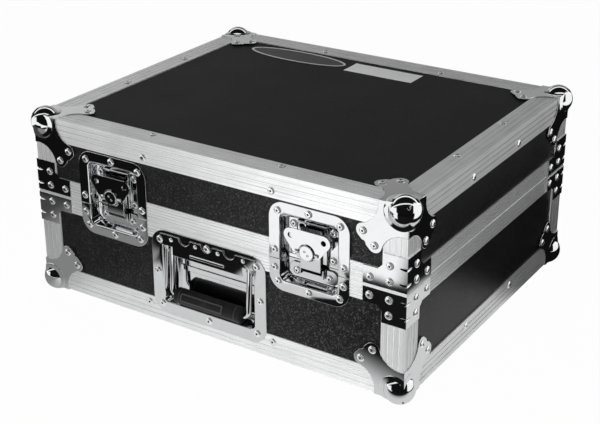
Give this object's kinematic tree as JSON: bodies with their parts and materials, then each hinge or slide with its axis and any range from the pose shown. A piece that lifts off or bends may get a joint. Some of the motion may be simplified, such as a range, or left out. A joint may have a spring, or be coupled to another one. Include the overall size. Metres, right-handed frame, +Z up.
{
  "type": "turntable case",
  "caption": "Hinged hard case for a turntable: black laminated panels in ribbed aluminium edging, ball corners, recessed butterfly latches and a recessed spring handle.",
  "frame": {"origin": "on the floor under the middle of the case, which stands on its four lower ball corners", "axes": "+X to the right along the width, +Y to the hinged back, +Z up; the latches face -Y"},
  "size_m": [0.548, 0.454, 0.254],
  "materials": {
    "laminate": "fine pebbled laminate",
    "aluminium": "ribbed satin extrusion",
    "chrome": "bright plated steel",
    "rivet_steel": "polished",
    "grip_rubber": "moulded matt",
    "foam": "open cell foam"
  },
  "bodies": {
    "base": {"base_back_panel": "laminate", "base_ball_corners": "chrome", "base_corner_braces": "chrome", "base_corner_uprights": "aluminium", "base_edge_back": "aluminium", "base_edge_front": "aluminium", "base_edge_left": "aluminium", "base_edge_right": "aluminium", "base_floor_foam": "foam", "base_floor_panel": "laminate", "base_front_panel": "laminate", "base_left_panel": "laminate", "base_right_panel": "laminate", "base_rim_back": "aluminium", "base_rim_front": "aluminium", "base_rim_left": "aluminium", "base_rim_right": "aluminium", "base_rivets": "rivet_steel", "base_surround_foam": "foam", "handle_bracket": "chrome", "handle_dish": "chrome", "hinge_base_leaves": "chrome", "hinge_pins": "rivet_steel", "latch_left_keeper": "chrome", "latch_left_lower_dish": "chrome", "latch_right_keeper": "chrome", "latch_right_lower_dish": "chrome"},
    "lid": {"hinge_lid_leaves": "chrome", "latch_left_bracket": "chrome", "latch_left_upper_dish": "chrome", "latch_right_bracket": "chrome", "latch_right_upper_dish": "chrome", "lid_back_panel": "laminate", "lid_ball_corners": "chrome", "lid_corner_braces": "chrome", "lid_corner_uprights": "aluminium", "lid_edge_back": "aluminium", "lid_edge_front": "aluminium", "lid_edge_left": "aluminium", "lid_edge_right": "aluminium", "lid_front_panel": "laminate", "lid_left_panel": "laminate", "lid_right_panel": "laminate", "lid_rim_back": "aluminium", "lid_rim_front": "aluminium", "lid_rim_left": "aluminium", "lid_rim_right": "aluminium", "lid_rivets": "rivet_steel", "lid_surround_foam": "foam", "lid_top_foam": "foam", "lid_top_panel": "laminate"},
    "handle": {"handle_bail": "chrome", "handle_grip": "grip_rubber"},
    "latch_left_turn": {"latch_left_hub": "chrome"},
    "latch_left_wing": {"latch_left_wing": "chrome"},
    "latch_left_hook": {"latch_left_hook": "chrome"},
    "latch_right_turn": {"latch_right_hub": "chrome"},
    "latch_right_wing": {"latch_right_wing": "chrome"},
    "latch_right_hook": {"latch_right_hook": "chrome"}
  },
  "joints": [
    {"name": "lid_hinge", "type": "hinge", "parent": "base", "child": "lid", "pos_m": [0, 0.222, 0.142], "axis": [-1, 0, 0], "range_deg": [0, 100]},
    {"name": "handle_swing", "type": "hinge", "parent": "base", "child": "handle", "pos_m": [0, -0.212, 0.11], "axis": [-1, 0, 0], "range_deg": [0, 90], "stiffness_Nm_per_rad": 0.06},
    {"name": "latch_left_turn", "type": "hinge", "parent": "lid", "child": "latch_left_turn", "pos_m": [-0.142, -0.218, 0.161], "axis": [0, -1, 0], "range_deg": [0, 180]},
    {"name": "latch_left_draw", "type": "slide", "parent": "lid", "child": "latch_left_hook", "axis": [0, 0, 1], "range_m": [0, 0.008]},
    {"name": "latch_left_wing_fold", "type": "hinge", "parent": "latch_left_turn", "child": "latch_left_wing", "pos_m": [-0.142, -0.222, 0.161], "axis": [1, 0, 0], "range_deg": [0, 90]},
    {"name": "latch_right_turn", "type": "hinge", "parent": "lid", "child": "latch_right_turn", "pos_m": [0.142, -0.218, 0.161], "axis": [0, -1, 0], "range_deg": [0, 180]},
    {"name": "latch_right_draw", "type": "slide", "parent": "lid", "child": "latch_right_hook", "axis": [0, 0, 1], "range_m": [0, 0.008]},
    {"name": "latch_right_wing_fold", "type": "hinge", "parent": "latch_right_turn", "child": "latch_right_wing", "pos_m": [0.142, -0.222, 0.161], "axis": [1, 0, 0], "range_deg": [0, 90]}
  ],
  "couplings": [
    {"joint": "latch_left_draw", "follows": "latch_left_turn", "m_per_rad": 0.002545},
    {"joint": "latch_right_draw", "follows": "latch_right_turn", "m_per_rad": 0.002545}
  ]
}
